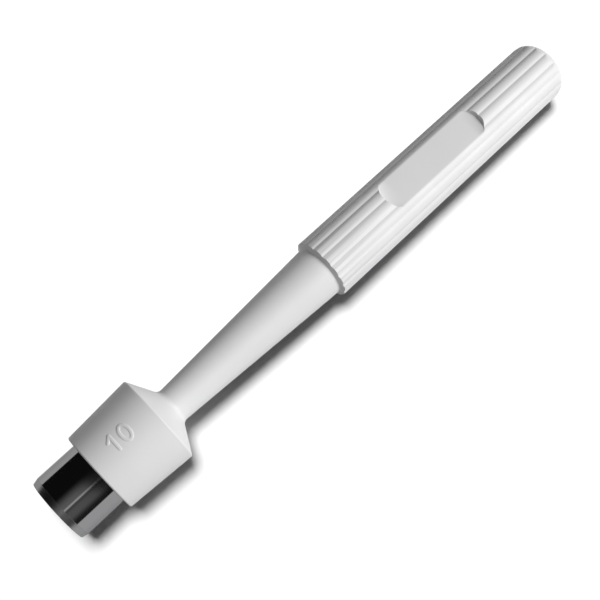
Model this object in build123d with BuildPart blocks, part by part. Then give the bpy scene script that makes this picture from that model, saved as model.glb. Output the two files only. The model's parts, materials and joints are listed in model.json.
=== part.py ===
from build123d import *
from math import asin, atan, atan2, cos, hypot, radians, sin, sqrt
import os

# Disposable skin biopsy punch: a steel cutting tube fixed in a white moulded handle.
# Sizes are in mm. Stations run along the tool's axis from the cutting edge towards the grip's end.

# Cutting tube
cut_dia = 10.0          # inside of the tube, the size of the punch
tube_wall = 0.3
edge_land = 0.04        # width left at the cutting edge
bevel_len = 1.0         # ground on the outside, behind the edge
blade_reach = 7.5       # tube in front of the collar
bond_gap = 0.02         # adhesive film around the tube

# Collar, shoulder and neck
collar_wall = 1.3       # around the tube, at the collar's front
collar_flare = 0.7      # radius gained from the collar's front to its rear
collar_len = 11.1
socket_floor = 3.1      # solid from the tube's seat to the collar's rear
front_round = 0.3       # on the collar's front edge
rim_round = 0.3         # on the collar's rear edge
shoulder_len = 2.5
shoulder_blend = 1.0    # hollow fillet between shoulder and neck
neck_dia = 5.6          # at the shoulder, where the neck is thinnest
neck_len = 30.6

# Grip
grip_dia = 10.4         # over the rib crests
grip_len = 53.8         # with its front chamfer and its domed end
grip_step = 0.85        # radius gained from the neck to the crests
front_chamfer = 0.4     # axial length of that step
end_crown = 9.0         # radius of the slightly domed end
heel_round = 2.0        # radius between the domed end and the grip's side
rib_count = 16
groove_depth = 0.22     # between two ribs, before its bottom is rounded
valley_round = 0.25     # radius at the bottom of each groove
crest_margin = 0.02     # the turned outline stands this much outside the crests

# Label panel, a flat sunk into the ribs on the upper side
panel_len = 21.3
panel_width = 5.4
panel_depth = 0.7       # below the rib crests
panel_start = 14.0      # from the grip's front
panel_end_round = 3.5   # radius of the bowed ends

# Stations and radii that follow
bore_r = cut_dia / 2
tube_r = bore_r + tube_wall
socket_r = tube_r + bond_gap
collar_front_r = tube_r + collar_wall
rim_r = collar_front_r + collar_flare
neck_front_r = neck_dia / 2
crest_r = grip_dia / 2
neck_back_r = crest_r - grip_step
turned_r = crest_r + crest_margin
tube_len = blade_reach + collar_len - socket_floor
collar_back = blade_reach + collar_len
neck_front = collar_back + shoulder_len
grip_front = neck_front + neck_len
tool_len = grip_front + grip_len

# Each rib is an arc that touches the crest circle and meets its neighbours at the groove depth.
rib_pitch = 360 / rib_count
half_pitch = radians(rib_pitch / 2)
valley_r = crest_r - groove_depth
rib_centre_r = (crest_r**2 - valley_r**2) / 2 / (crest_r - valley_r * cos(half_pitch))
rib_round = crest_r - rib_centre_r

# The grip's end: the crown's arc is centred on the axis, and the heel's arc lies inside it, tangent to it.
crown_x = tool_len - end_crown
heel_centre_r = turned_r - heel_round
heel_centre_x = crown_x + sqrt((end_crown - heel_round) ** 2 - heel_centre_r**2)
crown_share = end_crown / (end_crown - heel_round)
heel_end = (crown_x + (heel_centre_x - crown_x) * crown_share, heel_centre_r * crown_share)

# At rest the tool lies on the collar's rear rim and on the two lowest ribs where the heel's round begins.
# The rim is a small round between the collar's cone and the shoulder's cone; its centre comes first.
collar_slope = atan(collar_flare / collar_len)
shoulder_slope = atan((rim_r - neck_front_r) / shoulder_len)
corner_share = 1 + cos(collar_slope + shoulder_slope)
rim_x = collar_back - rim_round * (sin(shoulder_slope) - sin(collar_slope)) / corner_share
rim_drop = rim_r - rim_round * (cos(collar_slope) + cos(shoulder_slope)) / corner_share

# The heel: lowest line of the two ribs beside the bottom groove, where the heel's round cuts it.
heel_drop = rib_centre_r * cos(half_pitch) + rib_round
heel_r = hypot(heel_drop, rib_centre_r * sin(half_pitch))
heel_x = heel_centre_x + sqrt(heel_round**2 - (heel_r - heel_centre_r) ** 2)

# The table touches the rim's round and passes through the heel.
run = heel_x - rim_x
rise = rim_drop - heel_drop
rest_tilt = atan2(rise, run) + asin(rim_round / hypot(run, rise))
tip_height = sin(rest_tilt) * heel_x + cos(rest_tilt) * heel_drop

# The origin is under the middle of the lying tool.
foremost = -sin(rest_tilt) * (bore_r + edge_land)
rearmost = cos(rest_tilt) * crown_x + end_crown
tip_x = -(foremost + rearmost) / 2

# The tool's own planes: lengthwise through its axis, and square to the axis at a station.
along = Vector(cos(rest_tilt), 0, -sin(rest_tilt))
above = Vector(sin(rest_tilt), 0, cos(rest_tilt))
tip = Vector(tip_x, 0, tip_height)
length_plane = Plane(origin=tip, x_dir=along, z_dir=(0, -1, 0))
tool_axis = Axis(tip, along)
grip_plane = Plane(origin=tip + along * grip_front, x_dir=above, z_dir=along)

# Cutting tube: bore, cutting edge, ground bevel and plain outside
with BuildPart() as blade:
    with BuildSketch(length_plane):
        with BuildLine():
            Polyline(
                (0, bore_r),
                (0, bore_r + edge_land),
                (bevel_len, tube_r),
                (tube_len, tube_r),
                (tube_len, bore_r),
                close=True,
            )
        make_face()
    revolve(axis=tool_axis)

# Grip: a ribbed bar, turned down to the front chamfer and the dome, with the label panel sunk in its top
panel_floor = crest_r - panel_depth
panel_middle = grip_front + panel_start + panel_len / 2
panel_plane = Plane(
    origin=tip + along * panel_middle + above * panel_floor, x_dir=along, z_dir=above
)
panel_bow = panel_end_round - sqrt(panel_end_round**2 - (panel_width / 2) ** 2)
panel_half = panel_len / 2
panel_side = panel_half - panel_bow

with BuildPart() as grip:
    with BuildSketch(grip_plane):
        Circle(rib_centre_r)
        with PolarLocations(rib_centre_r, rib_count, start_angle=rib_pitch / 2):
            Circle(rib_round)
        # neighbouring ribs meet in a sharp valley, which is rounded
        fillet(vertices(), valley_round)
    extrude(amount=grip_len)
    with BuildSketch(length_plane):
        with BuildLine():
            Polyline(
                (tool_len, 0),
                (grip_front, 0),
                (grip_front, neck_back_r),
                (grip_front + front_chamfer, turned_r),
                (heel_centre_x, turned_r),
            )
            heel = TangentArc((heel_centre_x, turned_r), heel_end, tangent=(1, 0))
            TangentArc(heel @ 1, (tool_len, 0), tangent=heel % 1)
        make_face()
    revolve(axis=tool_axis, mode=Mode.INTERSECT)
    with BuildSketch(panel_plane):
        with BuildLine():
            Line((-panel_side, -panel_width / 2), (panel_side, -panel_width / 2))
            ThreePointArc(
                (panel_side, -panel_width / 2), (panel_half, 0), (panel_side, panel_width / 2)
            )
            Line((panel_side, panel_width / 2), (-panel_side, panel_width / 2))
            ThreePointArc(
                (-panel_side, panel_width / 2), (-panel_half, 0), (-panel_side, -panel_width / 2)
            )
        make_face()
    extrude(amount=panel_depth + crest_margin, mode=Mode.SUBTRACT)

# Handle: collar with its blind socket, shoulder and neck, in one piece with the grip
with BuildPart() as handle:
    with BuildSketch(length_plane):
        with BuildLine():
            Polyline(
                (tube_len, 0),
                (tube_len, socket_r),
                (blade_reach, socket_r),
                (blade_reach, collar_front_r),
                (collar_back, rim_r),
                (neck_front, neck_front_r),
                (grip_front, neck_back_r),
                (grip_front, 0),
                close=True,
            )
        make_face()
        fillet(vertices().sort_by_distance((blade_reach, collar_front_r))[0], front_round)
        fillet(vertices().sort_by_distance((collar_back, rim_r))[0], rim_round)
        fillet(vertices().sort_by_distance((neck_front, neck_front_r))[0], shoulder_blend)
    revolve(axis=tool_axis)
    add(grip.part)

blade.part.label = "blade"
handle.part.label = "handle"

os.makedirs("parts", exist_ok=True)
export_step(blade.part, "parts/blade.step")
export_step(handle.part, "parts/handle.step")
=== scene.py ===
"""Looks of a skin biopsy punch: a steel cutting tube in a white moulded handle, lying on a white floor."""

import json
from collections import namedtuple
from math import asin, atan2, cos, pi, radians, sin, sqrt, tan

import bmesh
import bpy
from bpy.props import FloatProperty, FloatVectorProperty, IntProperty, PointerProperty
from mathutils import Matrix, Vector


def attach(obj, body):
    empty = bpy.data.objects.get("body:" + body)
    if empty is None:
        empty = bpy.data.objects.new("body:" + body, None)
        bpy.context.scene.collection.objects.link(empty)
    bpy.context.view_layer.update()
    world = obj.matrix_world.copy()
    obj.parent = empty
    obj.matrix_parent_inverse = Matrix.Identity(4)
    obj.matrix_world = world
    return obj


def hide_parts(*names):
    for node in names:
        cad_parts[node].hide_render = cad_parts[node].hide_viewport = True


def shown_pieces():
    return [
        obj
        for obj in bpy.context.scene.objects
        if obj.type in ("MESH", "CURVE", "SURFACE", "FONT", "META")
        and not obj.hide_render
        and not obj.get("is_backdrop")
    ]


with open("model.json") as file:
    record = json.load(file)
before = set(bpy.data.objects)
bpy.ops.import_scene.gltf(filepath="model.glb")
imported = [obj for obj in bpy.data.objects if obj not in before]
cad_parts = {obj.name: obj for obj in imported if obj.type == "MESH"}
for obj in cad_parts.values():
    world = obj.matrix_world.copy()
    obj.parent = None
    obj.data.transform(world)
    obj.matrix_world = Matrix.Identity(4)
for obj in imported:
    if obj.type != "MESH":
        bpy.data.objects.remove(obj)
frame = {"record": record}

bl_info = {
    "name": "Biopsy punch looks",
    "version": (1, 0, 0),
    "blender": (4, 5, 0),
    "location": "View3D > Sidebar > Punch",
    "description": "Builds the cutting tube, handle, size number and studio of a skin biopsy punch",
    "category": "Object",
}

MM = 0.001
IMAGE_SIDE = 600        # pixels
SENSOR = 36.0           # mm, the camera's sensor width
NEAREST = 5 * MM        # the camera sees nothing closer than this
FLOOR_REACH = 3.0       # metres from the floor's middle to its edges
MERGED = 0.0001 * MM    # points of a mesh closer than this become one
TURNED_CREASE = radians(35)     # a turned piece is sharp where its faces bend by more than this
NUMERAL_CREASE = radians(50)    # and the number where they bend by more than this
RELIEF_HEIGHT = 0.01 * MM       # of the fine relief on plastic and steel
NOISE_LOW, NOISE_HIGH = 0.3, 0.7        # most of a noise lies between these

# The tool's own frame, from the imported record: x runs from the cutting edge to the grip's end,
# and z comes out of the label panel.
MOUNTS = {mount["name"]: mount for mount in frame["record"]["mounts"]}
BORE = MOUNTS["tissue_bore"]
TIP = Vector(BORE["pos_m"])
ALONG = -Vector(BORE["axis"]).normalized()
ABOVE = Vector(MOUNTS["label_panel"]["axis"]).normalized()
ACROSS = ABOVE.cross(ALONG)
TOOL = Matrix((ALONG, ACROSS, ABOVE)).transposed().to_4x4()
TOOL.translation = TIP
PANEL_POINT = TOOL.inverted() @ Vector(MOUNTS["label_panel"]["pos_m"])
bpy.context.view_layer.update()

# One point of a turned outline: its place, and what the surface does there.
Station = namedtuple("Station", "x r ribbed cut bow finish", defaults=(0.0, 0.0, 0.0, 0.0))

# Finishes of the tube, as a value at each station: a face has the highest one that its corners' mean reaches.
POLISHED, DRAWN, GROUND = 0.0, 0.5, 1.0
FINISH_SLACK = 0.1

# Scales along the tool's axes that stretch a noise into fine lines.
AROUND = (1.0, 0.02, 0.02)
LENGTHWISE = (0.02, 1.0, 1.0)


def length(name, description, millimetres):
    """A length property, given in millimetres."""
    return FloatProperty(
        name=name,
        description=description,
        default=millimetres * MM,
        min=0.0,
        precision=5,
        subtype="DISTANCE",
        unit="LENGTH",
    )


def angle(name, description, turned):
    """An angle property, given in degrees."""
    return FloatProperty(
        name=name, description=description, default=radians(turned), subtype="ANGLE", unit="ROTATION"
    )


def share(name, description, value, top=1.0):
    """A plain number from 0 to its top."""
    return FloatProperty(
        name=name, description=description, default=value, min=0.0, max=top, subtype="FACTOR"
    )


def colour(name, description, channels):
    """A colour property in linear light, given as three channels."""
    return FloatVectorProperty(
        name=name, description=description, default=channels, size=3, min=0.0, max=1.0, subtype="COLOR"
    )


class BladeSettings(bpy.types.PropertyGroup):
    """Sizes and finish of the cutting tube"""

    bore_radius: length("Bore radius", "Inside of the tube", BORE["dims"]["r_mm"])
    tube_length: length("Tube length", "From the edge to the socket's floor", BORE["dims"]["length_mm"])
    tube_wall: length("Tube wall", "Thickness of the steel", 0.3)
    edge_land: length("Edge land", "Width left at the cutting edge", 0.04)
    bevel_length: length("Bevel length", "Ground cone behind the edge", 1.0)
    bevel_softness: length("Bevel softness", "Round where the bevel meets the tube", 0.4)
    segments: IntProperty(name="Segments", description="Faces around the tube", default=192, min=32)
    # Painted shade: the steel's colour is darker than real steel and its glancing tint is dimmed, standing in
    # for the dim surroundings that the tube mirrors.
    steel: colour("Steel", "Colour of the steel", (0.26, 0.26, 0.265))
    steel_edge_painted_shade: colour("Steel edge", "Tint of what it mirrors at a glancing angle", (0.55, 0.55, 0.55))
    polish: share("Polish roughness", "Roughness of the polished tube", 0.08)
    drawn: share("Drawn roughness", "Roughness of the bore, left as it was drawn", 0.6)
    ground: share("Ground roughness", "Roughness of the ground bevel", 0.3)


class HandleSettings(bpy.types.PropertyGroup):
    """Sizes and finish of the moulded handle"""

    socket_radius: length("Socket radius", "Blind hole that holds the tube", 5.32)
    blade_reach: length("Blade reach", "Tube in front of the collar", 7.5)
    collar_radius: length("Collar radius", "At the collar's front", 6.6)
    rim_radius: length("Rim radius", "At the collar's rear", 7.3)
    collar_length: length("Collar length", "From its front face to its rim", 11.1)
    edge_round: length("Edge round", "On the collar's two edges", 0.3)
    shoulder_length: length("Shoulder length", "Cone from the rim to the neck", 2.5)
    shoulder_blend: length("Shoulder blend", "Hollow fillet between shoulder and neck", 1.0)
    neck_front: length("Neck front radius", "Where the neck is thinnest", 2.8)
    neck_back: length("Neck back radius", "Where the neck meets the grip", 4.35)
    neck_length: length("Neck length", "From the shoulder to the grip", 30.6)
    step_round: length("Step round", "Small fillet where the neck meets the grip", 0.15)
    grip_length: length("Grip length", "With its chamfer and its domed end", 53.8)
    crest_radius: length("Crest radius", "Over the rib crests", 5.2)
    crest_margin: length("Crest margin", "The turned outline stands this far outside the crests", 0.02)
    front_chamfer: length("Front chamfer", "Axial length of the grip's front cone", 0.4)
    end_crown: length("End crown", "Radius of the domed end", 9.0)
    heel_round: length("Heel round", "Between the domed end and the side", 2.0)
    rib_count: IntProperty(name="Ribs", description="Ribs around the grip", default=16, min=3)
    rib_samples: IntProperty(name="Samples per rib", description="Faces across one rib", default=24, min=8)
    groove_depth: length("Groove depth", "Between two ribs, before its bottom is rounded", 0.22)
    valley_round: length("Valley round", "Radius at the bottom of each groove", 0.25)
    edge_softness: length("Edge softness", "How softly moulded surfaces run into each other", 0.12)
    panel_length: length("Panel length", "Flat label panel", 21.3)
    panel_width: length("Panel width", "Flat label panel", 5.4)
    panel_end: length("Panel end radius", "Radius of the panel's bowed ends", 3.5)
    wall_run: length("Wall run", "Axial length of the panel's sloping end walls", 0.3)
    plastic: colour("Plastic", "Colour of the white moulding", (0.82, 0.82, 0.82))
    plastic_shade: colour("Plastic shade", "Colour of its faint unevenness", (0.79, 0.79, 0.79))
    satin: share("Satin roughness", "Roughness of the moulded surface", 0.52)


class NumberSettings(bpy.types.PropertyGroup):
    """The raised size number on the collar, a one and a zero"""

    height: length("Height", "Of the numerals, around the collar", 3.0)
    spacing: length("Spacing", "From the middle of the one to the middle of the zero, along the collar", 1.95)
    setback: length("Setback", "Of the number from the collar's middle, towards the blade", 0.22)
    zero_width: length("Zero width", "Of the zero, along the collar", 1.95)
    flag: length("Flag", "Reach of the one's flag, along and around the collar", 0.75)
    stroke: length("Stroke", "Width of the numerals' lines", 0.55)
    relief: length("Relief", "Above the collar's surface", 0.085)
    root: length("Root", "How deep the numerals reach into the collar", 0.1)


class StageSettings(bpy.types.PropertyGroup):
    """Camera, light and floor"""

    azimuth: angle("Azimuth", "Camera's heading, from along +Y towards +X", 44.40)
    elevation: angle("Elevation", "Camera's height above the horizon", 71.22)
    roll: angle("Roll", "Camera turned about its line of sight", -0.165)
    distance: length("Distance", "From the camera to its aim", 143.55)
    aim: FloatVectorProperty(
        name="Aim",
        description="Point on the floor that the camera looks at",
        default=(-4.915 * MM, 0.306 * MM, 0.0),
        size=3,
        subtype="XYZ",
        unit="LENGTH",
    )
    focal_pixels: FloatProperty(name="Focal length", description="In pixels of the image", default=896.9)
    floor: colour("Floor", "Colour of the floor as it is seen", (0.96, 0.96, 0.96))
    floor_bounce: colour("Floor bounce", "Its colour in the light that it sends back", (0.18, 0.18, 0.18))
    ambient: share("Ambient", "Level of the light from all around", 0.045)
    fill_level: share("Fill level", "Even light on the pieces from overhead", 0.15, 4.0)
    fill_spread: angle("Fill spread", "Breadth of the overhead light", 170.0)
    key_level: share("Key level", "Light on a surface that faces the key light", 1.0, 4.0)
    key_heading: angle("Key heading", "Where the key light stands, from +X towards +Y", -50.0)
    key_height: angle("Key height", "Of the key light above the horizon", 38.0)
    key_distance: length("Key distance", "From the key light to the tool", 600.0)
    key_size: length("Key size", "Side of the square key light", 300.0)
    floor_level: share("Floor level", "Light on the floor", 1.06, 4.0)
    floor_light_heading: angle("Floor light heading", "Where it comes from, from +X towards +Y", 70.0)
    floor_light_height: angle("Floor light height", "Of the floor's light above the horizon", 83.2)
    floor_light_spread: angle("Floor light spread", "Its breadth, which softens the shadow", 20.0)
    reflector: share("Reflector", "Brightness of the dim reflector that the steel mirrors", 0.33)


class PunchSettings(bpy.types.PropertyGroup):
    """All the settings of the biopsy punch"""

    blade: PointerProperty(type=BladeSettings)
    handle: PointerProperty(type=HandleSettings)
    number: PointerProperty(type=NumberSettings)
    stage: PointerProperty(type=StageSettings)


class NodeSheet:
    """Adds nodes to one node tree, and sets or links their inputs."""

    def __init__(self, tree):
        self.tree = tree

    def put(self, socket, value):
        """Links the socket to another node's output, or sets its value."""
        if isinstance(value, bpy.types.NodeSocket):
            self.tree.links.new(value, socket)
        else:
            socket.default_value = value

    def node(self, kind, inputs=None, **settings):
        """A node with its settings, and inputs by socket name or number."""
        made = self.tree.nodes.new(kind)
        for name, value in settings.items():
            setattr(made, name, value)
        for key, value in (inputs or {}).items():
            self.put(made.inputs[key], value)
        return made

    def math(self, operation, *values):
        """The result of one calculation."""
        made = self.tree.nodes.new("ShaderNodeMath")
        made.operation = operation
        for socket, value in zip(made.inputs, values):
            self.put(socket, value)
        return made.outputs[0]


def geometry_sheet(name, inputs):
    """The sheet of a new Geometry Nodes tree with an outline and these named inputs, and their sockets."""
    tree = bpy.data.node_groups.new(name, "GeometryNodeTree")
    tree.interface.new_socket("Outline", in_out="INPUT", socket_type="NodeSocketGeometry")
    for title, kind in inputs.items():
        tree.interface.new_socket(title, in_out="INPUT", socket_type=f"NodeSocket{kind}")
    tree.interface.new_socket("Solid", in_out="OUTPUT", socket_type="NodeSocketGeometry")
    sheet = NodeSheet(tree)
    return sheet, sheet.node("NodeGroupInput").outputs


def outline_grid(sheet, outline, segments):
    """A grid with a row for each outline point and a column for each angle, the last over the first."""
    rows = sheet.node("GeometryNodeAttributeDomainSize", {"Geometry": outline}).outputs["Point Count"]
    columns = sheet.math("ADD", segments, 1.0)
    counts = {"Vertices X": rows, "Vertices Y": columns}
    grid = sheet.node("GeometryNodeMeshGrid", counts).outputs["Mesh"]
    index = sheet.node("GeometryNodeInputIndex").outputs["Index"]
    half_step = 0.5             # keeps the division clear of the next whole row
    row = sheet.math("FLOOR", sheet.math("DIVIDE", sheet.math("ADD", index, half_step), columns))
    column = sheet.math("SUBTRACT", index, sheet.math("MULTIPLY", row, columns))
    return grid, row, column


def outline_value(sheet, outline, row, name):
    """The value of one of the outline's attributes at each row of the grid."""
    value = sheet.node("GeometryNodeInputNamedAttribute", {"Name": name}, data_type="FLOAT")
    picked = {"Geometry": outline, "Value": value.outputs["Attribute"], "Index": row}
    sampled = sheet.node("GeometryNodeSampleIndex", picked, data_type="FLOAT", domain="POINT")
    return sampled.outputs["Value"]


def outline_place(sheet, outline, row):
    """The station and the radius of the outline at each row of the grid."""
    place = sheet.node("GeometryNodeInputPosition").outputs["Position"]
    picked = {"Geometry": outline, "Value": place, "Index": row}
    sampled = sheet.node("GeometryNodeSampleIndex", picked, data_type="FLOAT_VECTOR", domain="POINT")
    parts = sheet.node("ShaderNodeSeparateXYZ", {"Vector": sampled.outputs["Value"]}).outputs
    return parts["X"], parts["Z"]


def close_solid(sheet, grid, x, radius, turn, materials):
    """Bends the grid into the turned solid, closes its seam and poles, and sets its materials."""
    y = sheet.math("MULTIPLY", radius, sheet.math("SINE", turn))
    z = sheet.math("MULTIPLY", radius, sheet.math("COSINE", turn))
    place = sheet.node("ShaderNodeCombineXYZ", {"X": x, "Y": y, "Z": z}).outputs["Vector"]
    bent = sheet.node("GeometryNodeSetPosition", {"Geometry": grid, "Position": place}).outputs["Geometry"]
    closed = sheet.node("GeometryNodeMergeByDistance", {"Geometry": bent, "Distance": MERGED})
    smooth = sheet.node("GeometryNodeSetShadeSmooth", {"Geometry": closed.outputs["Geometry"]})
    solid = sheet.node("GeometryNodeRealizeInstances", {"Geometry": smooth.outputs["Geometry"]}).outputs[0]
    for selection, material in materials:
        inputs = {"Geometry": solid, "Selection": selection, "Material": material}
        solid = sheet.node("GeometryNodeSetMaterial", inputs).outputs["Geometry"]
    sheet.node("NodeGroupOutput", {"Solid": solid})


def turned_tube_tree():
    """A tree that turns a closed outline about the tool's axis, and gives bore and bevel their own finish."""
    given = {"Segments": "Int", "Polished": "Material", "Drawn": "Material", "Ground": "Material"}
    sheet, inputs = geometry_sheet("turned_tube", given)
    outline = inputs["Outline"]
    grid, row, column = outline_grid(sheet, outline, inputs["Segments"])
    x, radius = outline_place(sheet, outline, row)
    turn = sheet.math("DIVIDE", sheet.math("MULTIPLY", column, 2 * pi), inputs["Segments"])
    kept = sheet.node(
        "GeometryNodeStoreNamedAttribute",
        {"Geometry": grid, "Name": "finish", "Value": outline_value(sheet, outline, row, "finish")},
        data_type="FLOAT",
        domain="POINT",
    ).outputs["Geometry"]
    finish = sheet.node("GeometryNodeInputNamedAttribute", {"Name": "finish"}, data_type="FLOAT")
    in_bore = sheet.math("GREATER_THAN", finish.outputs["Attribute"], DRAWN - FINISH_SLACK)
    on_bevel = sheet.math("GREATER_THAN", finish.outputs["Attribute"], GROUND - FINISH_SLACK)
    finishes = ((True, inputs["Polished"]), (in_bore, inputs["Drawn"]), (on_bevel, inputs["Ground"]))
    close_solid(sheet, kept, x, radius, turn, finishes)
    return sheet.tree


def rib_radius(sheet, inputs, within):
    """The ribbed section's radius at an angle within one rib's pitch: a round crest and a rounded valley."""
    half_pitch = sheet.math("DIVIDE", pi, inputs["Rib Count"])
    from_crest = sheet.math("ABSOLUTE", sheet.math("SUBTRACT", within, half_pitch))
    from_valley = sheet.math("SUBTRACT", half_pitch, from_crest)

    def arc(centre, radius, off_centre, side):
        """Distance from the axis to an arc, on its far side or its near side."""
        beside = sheet.math("MULTIPLY", centre, sheet.math("SINE", off_centre))
        ahead = sheet.math("MULTIPLY", centre, sheet.math("COSINE", off_centre))
        left = sheet.math("SUBTRACT", sheet.math("POWER", radius, 2.0), sheet.math("POWER", beside, 2.0))
        return sheet.math(side, ahead, sheet.math("SQRT", sheet.math("MAXIMUM", left, 0.0)))

    crest = arc(inputs["Rib Centre"], inputs["Rib Round"], from_crest, "ADD")
    valley = arc(inputs["Valley Centre"], inputs["Valley Round"], from_valley, "SUBTRACT")
    in_valley = sheet.math("GREATER_THAN", from_crest, inputs["Valley Start"])
    return sheet.math("MULTIPLY_ADD", in_valley, sheet.math("SUBTRACT", valley, crest), crest)


def ribbed_handle_tree():
    """A tree that turns the handle's outline, ribs its grip and sinks the label panel into the ribs."""
    far_out = 20 * MM           # limits that don't act stand this far outside the surface
    least_cosine = 0.05         # keeps the panel's plane finite away from the top
    panel_softness = 0.5        # of the panel's edges, as a share of the ribs' softness
    given = {
        "Rib Count": "Int",
        "Samples per Rib": "Int",
        "Rib Centre": "Float",
        "Rib Round": "Float",
        "Valley Centre": "Float",
        "Valley Round": "Float",
        "Valley Start": "Float",
        "Edge Softness": "Float",
        "Panel Floor": "Float",
        "Panel Lift": "Float",
        "Panel Half Width": "Float",
        "Panel End": "Float",
        "Plastic": "Material",
    }
    sheet, inputs = geometry_sheet("ribbed_handle", given)
    outline = inputs["Outline"]
    segments = sheet.math("MULTIPLY", inputs["Rib Count"], inputs["Samples per Rib"])
    grid, row, column = outline_grid(sheet, outline, segments)
    x, turned = outline_place(sheet, outline, row)
    ribbed = outline_value(sheet, outline, row, "ribbed")

    # Angles crowd towards the valleys, where the section bends most; a valley lies on the panel's centreline.
    pitch = sheet.math("DIVIDE", 2 * pi, inputs["Rib Count"])
    ribs_passed = sheet.math("DIVIDE", column, inputs["Samples per Rib"])
    swing = sheet.math("COSINE", sheet.math("MULTIPLY", sheet.math("FRACT", ribs_passed), pi))
    within = sheet.math("MULTIPLY", pitch, sheet.math("MULTIPLY_ADD", swing, -0.5, 0.5))
    turn = sheet.math("MULTIPLY_ADD", sheet.math("FLOOR", ribs_passed), pitch, within)

    # Ribs and panel act on the grip alone.
    outside = sheet.math("MULTIPLY_ADD", ribbed, -far_out, far_out)
    ribs = sheet.math("ADD", rib_radius(sheet, inputs, within), outside)
    radius = sheet.math("SMOOTH_MIN", turned, ribs, inputs["Edge Softness"])

    # The panel's floor is flat; its end walls rise along bowed rows.
    upward = sheet.math("MAXIMUM", sheet.math("COSINE", turn), least_cosine)
    sideways = sheet.math("DIVIDE", sheet.math("SINE", turn), upward)
    lift = sheet.math("SUBTRACT", 1.0, outline_value(sheet, outline, row, "cut"))
    height = sheet.math("MULTIPLY_ADD", lift, inputs["Panel Lift"], inputs["Panel Floor"])
    limit = sheet.math("ADD", sheet.math("DIVIDE", height, upward), outside)
    softness = sheet.math("MULTIPLY", inputs["Edge Softness"], panel_softness)
    radius = sheet.math("SMOOTH_MIN", radius, limit, softness)
    beside = sheet.math("ABSOLUTE", sheet.math("MULTIPLY", sideways, inputs["Panel Floor"]))
    beside = sheet.math("MINIMUM", beside, inputs["Panel Half Width"])
    end_squared = sheet.math("POWER", inputs["Panel End"], 2.0)
    reach = sheet.math("SQRT", sheet.math("SUBTRACT", end_squared, sheet.math("POWER", beside, 2.0)))
    bow = sheet.math("SUBTRACT", reach, inputs["Panel End"])
    x = sheet.math("MULTIPLY_ADD", outline_value(sheet, outline, row, "bow"), bow, x)

    close_solid(sheet, grid, x, radius, turn, ((True, inputs["Plastic"]),))
    return sheet.tree


def rounded(corners, step=radians(7.5)):
    """Points of an outline with its corners, given as (x, r, radius), rounded by arcs."""
    points = []
    for before, corner, after in zip([None] + corners[:-1], corners, corners[1:] + [None]):
        here = Vector(corner[:2])
        radius = corner[2]
        if before is None or after is None or not radius:
            points.append(here)
            continue
        back = (Vector(before[:2]) - here).normalized()
        on = (Vector(after[:2]) - here).normalized()
        turn = pi - back.angle(on)
        middle = (back + on).normalized()
        centre = here + middle * (radius / cos(turn / 2))
        start = here + back * (radius * tan(turn / 2)) - centre
        sense = 1.0 if back.x * on.y - back.y * on.x < 0 else -1.0
        steps = max(2, round(turn / step))
        points += [centre + Matrix.Rotation(sense * turn * k / steps, 2) @ start for k in range(steps + 1)]
    return [(point.x, point.y) for point in points]


def arc_points(centre_x, centre_r, radius, first, last, steps):
    """Points on an arc, by their angle from the tool's axis; the first point is left out."""
    angles = [first + (last - first) * k / steps for k in range(1, steps + 1)]
    return [(centre_x + radius * cos(a), centre_r + radius * sin(a)) for a in angles]


def outline_object(name, stations):
    """An object whose mesh is one chain of stations, with what the surface does there as attributes."""
    mesh = bpy.data.meshes.new(name)
    links = [(k, k + 1) for k in range(len(stations) - 1)]
    mesh.from_pydata([(s.x, 0.0, s.r) for s in stations], links, [])
    for field in ("ribbed", "cut", "bow", "finish"):
        values = mesh.attributes.new(field, "FLOAT", "POINT")
        values.data.foreach_set("value", [getattr(s, field) for s in stations])
    piece = bpy.data.objects.new(name, mesh)
    bpy.context.scene.collection.objects.link(piece)
    return piece


def grown(piece, tree, inputs):
    """Runs the tree on the piece's outline and keeps the result as a plain mesh in its place on the tool."""
    modifier = piece.modifiers.new("form", "NODES")
    modifier.node_group = tree
    sockets = {s.name: s.identifier for s in tree.interface.items_tree if s.in_out == "INPUT"}
    for name, value in inputs.items():
        modifier[sockets[name]] = value
    seen = piece.evaluated_get(bpy.context.evaluated_depsgraph_get())
    mesh = bpy.data.meshes.new_from_object(seen)
    piece.modifiers.clear()
    chain = piece.data
    piece.data = mesh
    mesh.name = chain.name
    bpy.data.meshes.remove(chain)
    mesh.transform(TOOL)
    mesh.set_sharp_from_angle(angle=TURNED_CREASE)
    return piece


def check_solid(piece):
    """Raises an error unless the piece's mesh is closed and its faces point outwards."""
    body = bmesh.new()
    body.from_mesh(piece.data)
    open_edges = sum(not edge.is_manifold for edge in body.edges)
    volume = body.calc_volume(signed=True)
    body.free()
    if open_edges or volume <= 0:
        raise RuntimeError(f"{piece.name}: {open_edges} open edges, volume {volume:.3g} cubic metres")


def unevenness_group():
    """A shader group: a fine relief, and a mask of broad soft patches."""
    name = "fine_unevenness"
    if name in bpy.data.node_groups:
        return bpy.data.node_groups[name]
    tree = bpy.data.node_groups.new(name, "ShaderNodeTree")
    tree.interface.new_socket("Vector", in_out="INPUT", socket_type="NodeSocketVector")
    for title, default in (("Relief Scale", 5000.0), ("Patch Scale", 150.0), ("Detail", 2.0)):
        socket = tree.interface.new_socket(title, in_out="INPUT", socket_type="NodeSocketFloat")
        socket.default_value = default
    for title in ("Relief", "Patches"):
        tree.interface.new_socket(title, in_out="OUTPUT", socket_type="NodeSocketFloat")
    sheet = NodeSheet(tree)
    given = sheet.node("NodeGroupInput").outputs
    relief = {"Vector": given["Vector"], "Scale": given["Relief Scale"], "Detail": given["Detail"]}
    patches = {"Vector": given["Vector"], "Scale": given["Patch Scale"], "Detail": given["Detail"]}
    sheet.node(
        "NodeGroupOutput",
        {
            "Relief": sheet.node("ShaderNodeTexNoise", relief).outputs["Fac"],
            "Patches": sheet.node("ShaderNodeTexNoise", patches).outputs["Fac"],
        },
    )
    return tree


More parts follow.
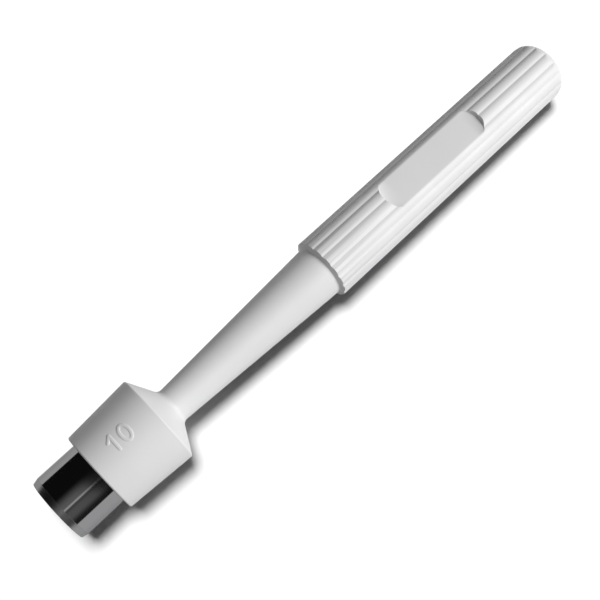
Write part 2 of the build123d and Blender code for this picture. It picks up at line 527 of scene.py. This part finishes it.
def new_material(name):
    """An empty material, its node sheet and its Principled shader."""
    material = bpy.data.materials.new(name)
    material.use_nodes = True
    material.node_tree.nodes.clear()
    sheet = NodeSheet(material.node_tree)
    shader = sheet.node("ShaderNodeBsdfPrincipled")
    sheet.node("ShaderNodeOutputMaterial", {"Surface": shader.outputs["BSDF"]})
    return material, sheet, shader


def tool_coordinates(sheet, stretch):
    """Object coordinates turned to the tool's own axes, and scaled along each of them."""
    place = sheet.node("ShaderNodeTexCoord").outputs["Object"]
    lean = atan2(ALONG.z, ALONG.x)
    turned = sheet.node("ShaderNodeMapping", {"Vector": place, "Rotation": (0.0, lean, 0.0)})
    stretched = sheet.node("ShaderNodeMapping", {"Vector": turned.outputs["Vector"], "Scale": stretch})
    return stretched.outputs["Vector"]


def uneven(sheet, vector, relief_scale, patch_scale):
    """The unevenness group on these coordinates: relief and patches."""
    made = sheet.node("ShaderNodeGroup", node_tree=unevenness_group())
    for title, value in (("Vector", vector), ("Relief Scale", relief_scale), ("Patch Scale", patch_scale)):
        sheet.put(made.inputs[title], value)
    return made.outputs["Relief"], made.outputs["Patches"]


def between(sheet, mask, low, high):
    """A value from low to high as the mask goes over the middle of its range."""
    given = {"Value": mask, "From Min": NOISE_LOW, "From Max": NOISE_HIGH, "To Min": low, "To Max": high}
    return sheet.node("ShaderNodeMapRange", given).outputs["Result"]


def mixed_colour(sheet, factor, first, second):
    """A colour that goes from the first to the second with the factor."""
    one, other, result = 6, 7, 2        # the Mix node's sockets for colours
    given = {"Factor": factor, one: (*first, 1.0), other: (*second, 1.0)}
    return sheet.node("ShaderNodeMix", given, data_type="RGBA").outputs[result]


def bumped(sheet, relief, strength):
    """A normal that follows the relief."""
    given = {"Strength": strength, "Distance": RELIEF_HEIGHT, "Height": relief}
    return sheet.node("ShaderNodeBump", given).outputs["Normal"]


def satin_plastic(sizes):
    """White moulded plastic: a fine spark-eroded grain, and faint patches in its shine and colour."""
    grain_scale, patch_scale = 4500.0, 130.0    # features per metre
    grain_strength = 0.6
    shine_change = 0.04                         # of the roughness, over the patches
    refraction = 1.46                           # index of the plastic
    material, sheet, shader = new_material("satin_white_plastic")
    relief, patches = uneven(sheet, tool_coordinates(sheet, (1.0, 1.0, 1.0)), grain_scale, patch_scale)
    tint = mixed_colour(sheet, between(sheet, patches, 0.0, 1.0), sizes.plastic, sizes.plastic_shade)
    sheet.put(shader.inputs["Base Color"], tint)
    shine = between(sheet, patches, sizes.satin - shine_change, sizes.satin + shine_change)
    sheet.put(shader.inputs["Roughness"], shine)
    sheet.put(shader.inputs["Normal"], bumped(sheet, relief, grain_strength))
    shader.inputs["IOR"].default_value = refraction
    return material


def lined_steel(name, sizes, roughness, stretch, line_scale, strength):
    """Steel with fine lines around or along the tube, left by polishing, grinding or drawing."""
    coarser = 0.02              # scale of the broad patches, as a share of the lines' scale
    shine_change = 0.2          # of the roughness, as a share of it, over the patches
    material, sheet, shader = new_material(name)
    relief, patches = uneven(sheet, tool_coordinates(sheet, stretch), line_scale, line_scale * coarser)
    # Painted shade: base colour and glancing tint are darker than real steel's, so that the tube's
    # reflections come out dim.
    shader.inputs["Base Color"].default_value = (*sizes.steel, 1.0)
    shader.inputs["Specular Tint"].default_value = (*sizes.steel_edge_painted_shade, 1.0)
    shader.inputs["Metallic"].default_value = 1.0
    shine = between(sheet, patches, roughness * (1 - shine_change), roughness * (1 + shine_change))
    sheet.put(shader.inputs["Roughness"], shine)
    sheet.put(shader.inputs["Normal"], bumped(sheet, relief, strength))
    return material


class PUNCH_OT_blade(bpy.types.Operator):
    """Turns the cutting tube, with its ground bevel"""

    bl_idname = "punch.blade"
    bl_label = "Cutting tube"

    def execute(self, context):
        sizes = context.scene.punch.blade
        bore = sizes.bore_radius
        outside = bore + sizes.tube_wall
        edge = bore + sizes.edge_land
        corners = [
            (0.0, bore, 0.0),
            (0.0, edge, 0.0),
            (sizes.bevel_length, outside, sizes.bevel_softness),
            (sizes.tube_length, outside, 0.0),
            (sizes.tube_length, bore, 0.0),
            (0.0, bore, 0.0),
        ]
        points = rounded(corners, step=radians(4))

        def finish_at(x, r):
            """The finish at one point of the outline: bore, bevel or plain outside."""
            if r < bore + sizes.edge_land / 2:
                return DRAWN
            return GROUND if x <= sizes.bevel_length else POLISHED

        polished_lines = {"stretch": AROUND, "line_scale": 9000.0, "strength": 0.03}
        drawn_lines = {"stretch": LENGTHWISE, "line_scale": 9000.0, "strength": 0.15}
        ground_lines = {"stretch": AROUND, "line_scale": 16000.0, "strength": 0.2}
        inputs = {
            "Segments": sizes.segments,
            "Polished": lined_steel("polished_steel", sizes, sizes.polish, **polished_lines),
            "Drawn": lined_steel("drawn_steel", sizes, sizes.drawn, **drawn_lines),
            "Ground": lined_steel("ground_steel", sizes, sizes.ground, **ground_lines),
        }
        tube = outline_object("cutting_tube", [Station(x, r, finish=finish_at(x, r)) for x, r in points])
        grown(tube, turned_tube_tree(), inputs)
        check_solid(tube)
        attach(tube, "root")
        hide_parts("blade")
        return {"FINISHED"}


def handle_stations(sizes, tube_length):
    """The handle's outline, from the socket's floor round the collar to the middle of the domed end."""
    collar_back = sizes.blade_reach + sizes.collar_length
    neck_start = collar_back + sizes.shoulder_length
    grip_start = neck_start + sizes.neck_length
    chamfer_end = grip_start + sizes.front_chamfer
    tool_length = grip_start + sizes.grip_length
    side = sizes.crest_radius + sizes.crest_margin
    front = rounded(
        [
            (tube_length, 0.0, 0.0),
            (tube_length, sizes.socket_radius, 0.0),
            (sizes.blade_reach, sizes.socket_radius, 0.0),
            (sizes.blade_reach, sizes.collar_radius, sizes.edge_round),
            (collar_back, sizes.rim_radius, sizes.edge_round),
            (neck_start, sizes.neck_front, sizes.shoulder_blend),
            (grip_start, sizes.neck_back, sizes.step_round),
            (chamfer_end, side, 0.0),
        ]
    )
    stations = [Station(x, r, ribbed=float(x > neck_start + sizes.neck_length / 2)) for x, r in front[:-1]]
    chamfer_steps = 20
    x0, r0 = front[-2]
    for k in range(1, chamfer_steps + 1):
        part = k / chamfer_steps
        stations.append(Station(x0 + (chamfer_end - x0) * part, r0 + (side - r0) * part, ribbed=1.0))

    # The panel's two end walls: rows that follow the bow and sink from the crests to the floor.
    wall_steps = 10
    margin = 2.5 * MM           # from the walls to the plain rows before and after them
    half = sizes.panel_length / 2
    for end in (-1.0, 1.0):
        outer = PANEL_POINT.x + end * (half + margin)
        rows = []
        for k in range(wall_steps + 1):
            part = k / wall_steps
            sunk = part * part * (3 - 2 * part)         # eases in and out
            x = PANEL_POINT.x + end * (half + sizes.wall_run * (0.5 - part))
            rows.append(Station(x, side, ribbed=1.0, cut=sunk, bow=end))
        inner = Station(PANEL_POINT.x + end * (half - margin), side, ribbed=1.0, cut=1.0)
        wall = [Station(outer, side, ribbed=1.0), *rows, inner]
        stations += wall if end < 0 else wall[::-1]

    # The heel's arc runs tangent into the crown's.
    crown_x = tool_length - sizes.end_crown
    heel_r = side - sizes.heel_round
    lean = asin(heel_r / (sizes.end_crown - sizes.heel_round))
    heel_x = crown_x + (sizes.end_crown - sizes.heel_round) * cos(lean)
    end = [(heel_x, side)]
    end += arc_points(heel_x, heel_r, sizes.heel_round, pi / 2, lean, steps=26)
    end += arc_points(crown_x, 0.0, sizes.end_crown, lean, 0.0, steps=12)
    return stations + [Station(x, max(r, 0.0), ribbed=1.0) for x, r in end]


class PUNCH_OT_handle(bpy.types.Operator):
    """Turns the moulded handle, with its ribbed grip and its sunk label panel"""

    bl_idname = "punch.handle"
    bl_label = "Handle"

    def execute(self, context):
        sizes = context.scene.punch.handle
        half_pitch = pi / sizes.rib_count
        crest = sizes.crest_radius
        valley = crest - sizes.groove_depth
        rib_centre = (crest**2 - valley**2) / 2 / (crest - valley * cos(half_pitch))
        rib_round = crest - rib_centre
        beside = rib_centre * sin(half_pitch)
        valley_centre = rib_centre * cos(half_pitch) + sqrt((rib_round + sizes.valley_round) ** 2 - beside**2)
        # the rib's arc and the valley's arc touch on the line between their centres
        reach = rib_round / (rib_round + sizes.valley_round)
        touch_x = rib_centre + (valley_centre * cos(half_pitch) - rib_centre) * reach
        touch_y = valley_centre * sin(half_pitch) * reach
        inputs = {
            "Rib Count": sizes.rib_count,
            "Samples per Rib": sizes.rib_samples,
            "Rib Centre": rib_centre,
            "Rib Round": rib_round,
            "Valley Centre": valley_centre,
            "Valley Round": sizes.valley_round,
            "Valley Start": atan2(touch_y, touch_x),
            "Edge Softness": sizes.edge_softness,
            "Panel Floor": PANEL_POINT.z,
            "Panel Lift": crest + sizes.crest_margin - PANEL_POINT.z,
            "Panel Half Width": sizes.panel_width / 2,
            "Panel End": sizes.panel_end,
            "Plastic": satin_plastic(sizes),
        }
        tube_length = context.scene.punch.blade.tube_length
        handle = outline_object("moulded_handle", handle_stations(sizes, tube_length))
        grown(handle, ribbed_handle_tree(), inputs)
        check_solid(handle)
        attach(handle, "root")
        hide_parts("handle")
        return {"FINISHED"}


def raised_stroke(body, path, closed, sizes):
    """Adds one line of a numeral to the body, still flat: a low ridge along the path, with round ends."""
    half = sizes.stroke / 2
    ridge_steps = 8
    cap_angles = (radians(25), radians(50), radians(75))
    ridge_angles = [pi * k / ridge_steps for k in range(ridge_steps + 1)]
    ridge = [(-cos(a), sin(a)) for a in ridge_angles]
    path = [Vector(point) for point in path]
    places = []
    for k, here in enumerate(path):
        before = path[k - 1] if closed or k else here
        after = path[(k + 1) % len(path)] if closed or k < len(path) - 1 else here
        places.append((here, (after - before).normalized(), 1.0))
    if not closed:
        caps = [(sin(a), cos(a)) for a in cap_angles]
        first, last = places[0], places[-1]
        places = [(first[0] - first[1] * half * out, first[1], size) for out, size in caps[::-1]] + places
        places += [(last[0] + last[1] * half * out, last[1], size) for out, size in caps]
    rings = []
    for place, onward, size in places:
        side = Vector((-onward.y, onward.x)) * half * size
        ring = [(*(place + side * across), sizes.relief * size * up) for across, up in ridge]
        ring += [(*(place + side), -sizes.root), (*(place - side), -sizes.root)]
        rings.append([body.verts.new(point) for point in ring])
    pairs = zip(rings, rings[1:] + rings[:1]) if closed else zip(rings, rings[1:])
    for one, other in pairs:
        for k in range(len(one)):
            follow = (k + 1) % len(one)
            body.faces.new((one[k], one[follow], other[follow], other[k]))
    if not closed:
        body.faces.new(rings[0])
        body.faces.new(rings[-1])


class PUNCH_OT_number(bpy.types.Operator):
    """Raises the size number on the collar"""

    bl_idname = "punch.number"
    bl_label = "Size number"

    def execute(self, context):
        sizes = context.scene.punch.number
        collar = context.scene.punch.handle
        high = (sizes.height - sizes.stroke) / 2
        wide = (sizes.zero_width - sizes.stroke) / 2
        one = -sizes.spacing / 2
        zero = sizes.spacing / 2
        zero_steps, stem_steps, flag_steps = 48, 12, 4
        turns = [2 * pi * k / zero_steps for k in range(zero_steps)]
        stem = [(one, high - 2 * high * k / stem_steps) for k in range(stem_steps + 1)]
        runs = [sizes.flag * k / flag_steps for k in range(flag_steps + 1)]
        flag = [(one - run, high - run) for run in runs]
        body = bmesh.new()
        raised_stroke(body, stem, False, sizes)
        raised_stroke(body, flag, False, sizes)
        raised_stroke(body, [(zero + wide * cos(a), high * sin(a)) for a in turns], True, sizes)

        # The flat numerals are wrapped round the collar's cone.
        middle = collar.blade_reach + collar.collar_length / 2 - sizes.setback
        flare = (collar.rim_radius - collar.collar_radius) / collar.collar_length
        for vert in body.verts:
            x = middle + vert.co.x
            surface = collar.collar_radius + (x - collar.blade_reach) * flare
            turn = vert.co.y / surface
            radius = surface + vert.co.z
            vert.co = (x, radius * sin(turn), radius * cos(turn))
        bmesh.ops.recalc_face_normals(body, faces=body.faces)
        mesh = bpy.data.meshes.new("size_number")
        body.to_mesh(mesh)
        body.free()
        mesh.transform(TOOL)
        mesh.shade_smooth()
        mesh.set_sharp_from_angle(angle=NUMERAL_CREASE)
        mesh.materials.append(bpy.data.materials["satin_white_plastic"])
        number = bpy.data.objects.new("size_number", mesh)
        context.scene.collection.objects.link(number)
        check_solid(number)
        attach(number, "root")
        return {"FINISHED"}


def seen_directly(sheet):
    """1 for a ray of the camera, in a reflection or through glass, 0 for light that bounces."""
    path = sheet.node("ShaderNodeLightPath").outputs
    seen = sheet.math("MAXIMUM", path["Is Camera Ray"], path["Is Glossy Ray"])
    return sheet.math("MAXIMUM", seen, path["Is Transmission Ray"])


def floor_material(sizes):
    """A plain white floor that sends only part of its light back to the pieces."""
    material, sheet, shader = new_material("studio_floor")
    tint = mixed_colour(sheet, seen_directly(sheet), sizes.floor_bounce, sizes.floor)
    sheet.put(shader.inputs["Base Color"], tint)
    shader.inputs["Roughness"].default_value = 1.0
    shader.inputs["Specular IOR Level"].default_value = 0.0
    return material


def studio_world(sizes):
    """Even grey light behind a white backdrop; steel also mirrors the studio's dark ceiling and reflector."""
    ceiling_level = 0.012
    world = bpy.data.worlds.new("studio")
    world.use_nodes = True
    world.node_tree.nodes.clear()
    sheet = NodeSheet(world.node_tree)
    direction = sheet.node("ShaderNodeTexCoord").outputs["Generated"]
    parts = sheet.node("ShaderNodeSeparateXYZ", {"Vector": direction}).outputs

    def ramp(value, start, end, first, last):
        """A smooth change from the first level to the last as the value goes from start to end."""
        given = {"Value": value, "From Min": start, "From Max": end, "To Min": first, "To Max": last}
        return sheet.node("ShaderNodeMapRange", given, interpolation_type="SMOOTHSTEP").outputs["Result"]

    # The dim reflector hangs over the tool, leaning from straight up towards -Y. It has a brighter lip with a
    # darker fold past it, and fades at its edges; what the tube mirrors of it ends short of the collar.
    lean = sheet.math("ARCTAN2", sheet.math("MULTIPLY", parts["Y"], -1.0), parts["Z"])
    near_edge = ramp(lean, radians(-15), radians(20), 0.0, 1.0)
    fold = ramp(lean, radians(29), radians(32), 1.0, 0.5)
    back = ramp(lean, radians(36), radians(43), 0.0, 0.26)
    far_edge = ramp(lean, radians(55), radians(78), 1.0, 0.12)
    past_lip = sheet.math("MULTIPLY", sheet.math("ADD", fold, back), far_edge)
    off_lip = sheet.math("ABSOLUTE", sheet.math("SUBTRACT", lean, radians(28)))
    lip = ramp(off_lip, radians(1.0), radians(4.5), 2.0, 0.0)
    sheen = sheet.math("MULTIPLY_ADD", near_edge, past_lip, lip)
    front_edge = ramp(parts["X"], -0.058, -0.046, 1.0, 0.0)
    low_edge = ramp(parts["Z"], 0.04, 0.2, 0.0, 1.0)
    reach = sheet.math("MULTIPLY", front_edge, low_edge)
    reflector = sheet.math("MULTIPLY", sheet.math("MULTIPLY", sheen, reach), sizes.reflector)
    horizon = ramp(parts["Z"], 0.0, 0.05, 1.0, ceiling_level)
    ceiling = sheet.math("ADD", horizon, reflector)
    camera = sheet.node("ShaderNodeLightPath").outputs["Is Camera Ray"]
    backdrop = sheet.math("MAXIMUM", camera, ceiling)
    even = sheet.node("ShaderNodeBackground", {"Strength": sizes.ambient})
    shown = sheet.node("ShaderNodeBackground", {"Color": backdrop})
    factor, one, other = 0, 1, 2        # the Mix Shader node's sockets
    mixed = {factor: seen_directly(sheet), one: even.outputs[0], other: shown.outputs[0]}
    sheet.node("ShaderNodeOutputWorld", {"Surface": sheet.node("ShaderNodeMixShader", mixed).outputs[0]})
    return world


def aimed(name, data, place, aim):
    """A lamp or camera object at a place, looking at an aim."""
    made = bpy.data.objects.new(name, data)
    made.location = place
    made.rotation_euler = (Vector(aim) - Vector(place)).to_track_quat("-Z", "Y").to_euler()
    bpy.context.scene.collection.objects.link(made)
    return made


def heading(azimuth, elevation):
    """A unit vector by its azimuth from +X towards +Y and its elevation."""
    return Vector((cos(azimuth) * cos(elevation), sin(azimuth) * cos(elevation), sin(elevation)))


def lit_only(lamp, pieces):
    """Lets a lamp light these pieces alone."""
    receivers = bpy.data.collections.new(lamp.name + "_receivers")
    for piece in pieces:
        receivers.objects.link(piece)
    lamp.light_linking.receiver_collection = receivers


def softbox(name, level, way, distance, side, aim):
    """A square lamp that gives this level of light on a surface that faces it."""
    data = bpy.data.lights.new(name, "AREA")
    data.shape = "SQUARE"
    data.size = side
    data.energy = level * pi**2 * distance**2
    return aimed(name, data, Vector(aim) + way * distance, aim)


class PUNCH_OT_stage(bpy.types.Operator):
    """Lays the floor, sets the lights and places the camera"""

    bl_idname = "punch.stage"
    bl_label = "Studio"

    def execute(self, context):
        sizes = context.scene.punch.stage
        scene = context.scene
        scene.view_settings.view_transform = "Standard"
        scene.world = studio_world(sizes)
        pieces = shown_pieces()

        mesh = bpy.data.meshes.new("studio_floor")
        corners = [(x * FLOOR_REACH, y * FLOOR_REACH, 0.0) for x, y in ((-1, -1), (1, -1), (1, 1), (-1, 1))]
        mesh.from_pydata(corners, [], [(0, 1, 2, 3)])
        mesh.materials.append(floor_material(sizes))
        floor = bpy.data.objects.new("studio_floor", mesh)
        scene.collection.objects.link(floor)
        floor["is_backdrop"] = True

        centre = (0.0, 0.0, 5 * MM)
        key_way = heading(sizes.key_heading, sizes.key_height)
        key = softbox("key_light", sizes.key_level, key_way, sizes.key_distance, sizes.key_size, centre)
        lit_only(key, pieces)
        sun = bpy.data.lights.new("floor_light", "SUN")
        sun.energy = sizes.floor_level * pi
        sun.angle = sizes.floor_light_spread
        sun_way = heading(sizes.floor_light_heading, sizes.floor_light_height)
        overhead = aimed("floor_light", sun, sun_way, (0.0, 0.0, 0.0))
        lit_only(overhead, [floor])
        dome = bpy.data.lights.new("fill_light", "SUN")
        dome.energy = sizes.fill_level * pi
        dome.angle = sizes.fill_spread
        fill = aimed("fill_light", dome, (0.0, 0.0, 1.0), (0.0, 0.0, 0.0))
        fill.visible_glossy = False
        lit_only(fill, pieces)

        aim = Vector(sizes.aim)
        forward = Vector((sin(sizes.azimuth), cos(sizes.azimuth), 0.0)) * cos(sizes.elevation)
        look = forward - Vector((0.0, 0.0, sin(sizes.elevation)))
        lens = bpy.data.cameras.new("camera")
        lens.sensor_width = SENSOR
        lens.lens = SENSOR * sizes.focal_pixels / IMAGE_SIDE
        lens.clip_start = NEAREST
        camera = aimed("camera", lens, aim - look * sizes.distance, aim)
        camera.rotation_euler.rotate_axis("Z", sizes.roll)
        scene.camera = camera
        return {"FINISHED"}


class PUNCH_PT_sidebar(bpy.types.Panel):
    """Lists the settings and steps of the biopsy punch"""

    bl_idname = "PUNCH_PT_sidebar"
    bl_label = "Biopsy punch"
    bl_space_type = "VIEW_3D"
    bl_region_type = "UI"
    bl_category = "Punch"

    def draw(self, context):
        for step, group in STEPS:
            box = self.layout.box()
            box.operator(step.bl_idname)
            settings = getattr(context.scene.punch, group)
            for name in settings.__annotations__:
                box.prop(settings, name)


STEPS = (
    (PUNCH_OT_blade, "blade"),
    (PUNCH_OT_handle, "handle"),
    (PUNCH_OT_number, "number"),
    (PUNCH_OT_stage, "stage"),
)
CLASSES = (
    BladeSettings,
    HandleSettings,
    NumberSettings,
    StageSettings,
    PunchSettings,
    *(step for step, group in STEPS),
    PUNCH_PT_sidebar,
)


def register():
    """Makes the settings, the steps and the sidebar known."""
    for item in CLASSES:
        bpy.utils.register_class(item)
    bpy.types.Scene.punch = PointerProperty(type=PunchSettings)


def unregister():
    """Takes them away again."""
    del bpy.types.Scene.punch
    for item in reversed(CLASSES):
        bpy.utils.unregister_class(item)


def main():
    """Builds the pieces and the stage."""
    register()
    bpy.ops.punch.blade()
    bpy.ops.punch.handle()
    bpy.ops.punch.number()
    bpy.ops.punch.stage()


if __name__ == "__main__":
    main()
